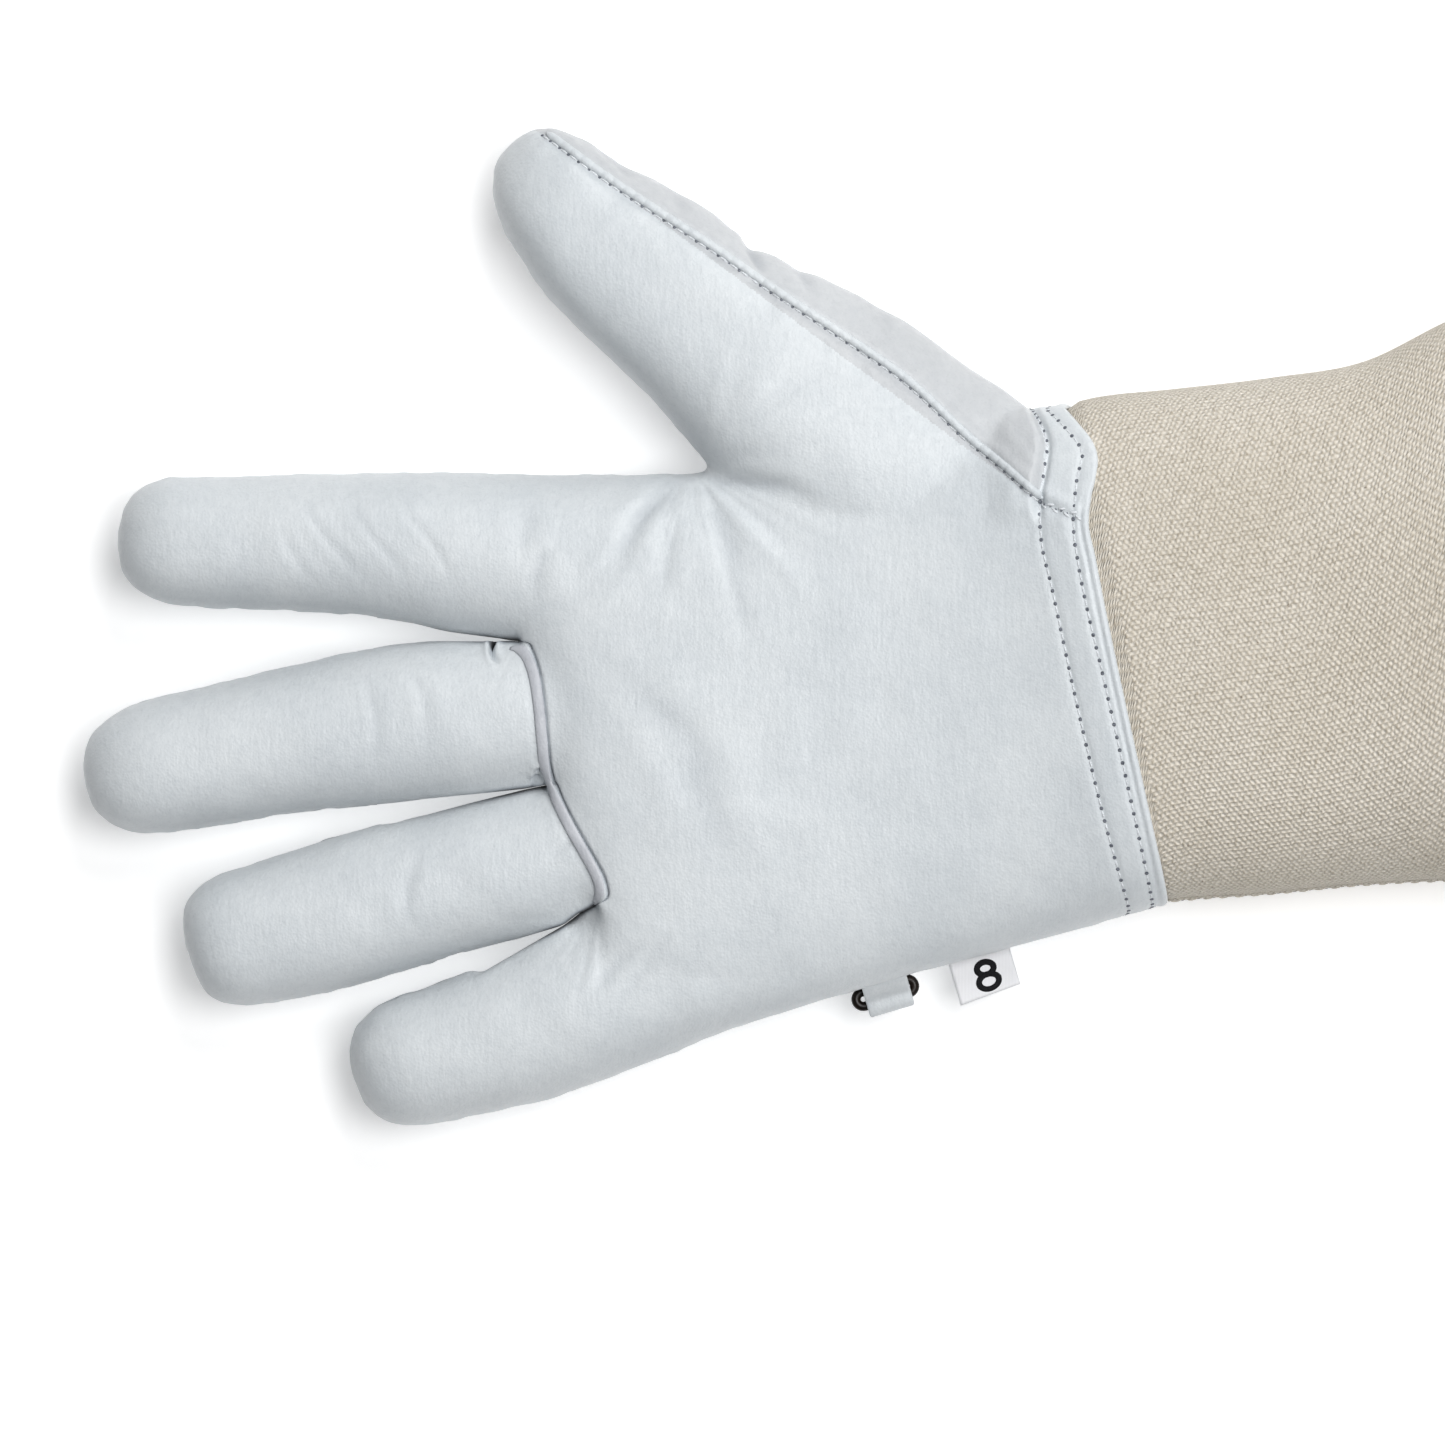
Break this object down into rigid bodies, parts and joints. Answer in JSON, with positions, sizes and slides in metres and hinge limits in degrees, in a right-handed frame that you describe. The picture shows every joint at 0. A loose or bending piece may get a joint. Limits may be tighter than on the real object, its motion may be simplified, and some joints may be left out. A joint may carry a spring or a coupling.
{
  "type": "beekeeping glove",
  "caption": "White leather beekeeping glove for the right hand, palm up, with a long canvas sleeve gathered at the elbow, a sewn wrist hem, a hanging loop and a size label.",
  "frame": {"origin": "on the flat rest face under the back of the hand, below the middle of the palm", "axes": "+Z out of the palm, +X towards the elbow end of the sleeve, +Y towards the thumb side"},
  "size_m": [0.4873, 0.2057, 0.0662],
  "materials": {
    "goatskin": "fine grain, soft satin",
    "canvas": "unbleached cotton duck with flecks",
    "thread": "polyester sewing thread",
    "elastic": "woven elastic",
    "ring": "dark, polished",
    "label": "white satin"
  },
  "bodies": {
    "hand": {"palm_panel": "goatskin", "back_panel": "goatskin", "thumb_heel_back": "goatskin", "wrist_hem": "goatskin", "canvas_seam_allowance": "canvas", "hem_stitch_row_upper": "thread", "hem_stitch_row_lower": "thread", "thumb_seam_welt": "goatskin", "thumb_seam_thread": "thread", "finger_base_welt": "goatskin"},
    "index_finger": {"index_finger_front": "goatskin", "index_finger_back": "goatskin"},
    "middle_finger": {"middle_finger_front": "goatskin", "middle_finger_back": "goatskin"},
    "ring_finger": {"ring_finger_front": "goatskin", "ring_finger_back": "goatskin"},
    "little_finger": {"little_finger_front": "goatskin", "little_finger_back": "goatskin"},
    "thumb": {"thumb_front": "goatskin", "thumb_back": "goatskin", "thumb_tip_welt": "goatskin", "thumb_tip_thread": "thread"},
    "sleeve": {"gauntlet": "canvas", "sleeve_side_seam": "canvas", "elbow_hem": "canvas", "elbow_elastic": "elastic", "elbow_hem_stitching": "thread"},
    "loop": {"hang_loop": "goatskin"},
    "ring": {"hang_ring": "ring"},
    "label": {"size_label": "label"}
  },
  "joints": [
    {"name": "index_finger_curl", "type": "hinge", "parent": "hand", "child": "index_finger", "pos_m": [-0.0642, 0.02881, 0.0319], "axis": [0.0454, 0.999, 0], "range_deg": [0, 70]},
    {"name": "middle_finger_curl", "type": "hinge", "parent": "hand", "child": "middle_finger", "pos_m": [-0.0642, -0.00353, 0.0303], "axis": [-0.134, 0.991, 0], "range_deg": [0, 70]},
    {"name": "ring_finger_curl", "type": "hinge", "parent": "hand", "child": "ring_finger", "pos_m": [-0.06019, -0.03315, 0.0289], "axis": [-0.2487, 0.9686, 0], "range_deg": [0, 70]},
    {"name": "little_finger_curl", "type": "hinge", "parent": "hand", "child": "little_finger", "pos_m": [-0.05019, -0.06156, 0.0303], "axis": [-0.3206, 0.9472, 0], "range_deg": [0, 70]},
    {"name": "thumb_curl", "type": "hinge", "parent": "hand", "child": "thumb", "pos_m": [-0.01495, 0.06693, 0.036], "axis": [0.6561, 0.7547, 0], "range_deg": [0, 50]},
    {"name": "gauntlet_fold", "type": "hinge", "parent": "hand", "child": "sleeve", "pos_m": [0.05978, 0.01054, 0.0468], "axis": [0.1736, -0.9848, 0], "range_deg": [0, 60]},
    {"name": "hang_loop_flap", "type": "hinge", "parent": "hand", "child": "loop", "pos_m": [0.01343, -0.05744, 0.015], "axis": [0.9848, 0.1736, 0], "range_deg": [-40, 40]},
    {"name": "hang_ring_slide", "type": "slide", "parent": "loop", "child": "ring", "axis": [0.9848, 0.1736, 0], "range_m": [-0.002, 0.002]},
    {"name": "size_label_flap", "type": "hinge", "parent": "hand", "child": "label", "pos_m": [0.03229, -0.05239, 0.015], "axis": [0.9848, 0.1736, 0], "range_deg": [-60, 45]}
  ]
}
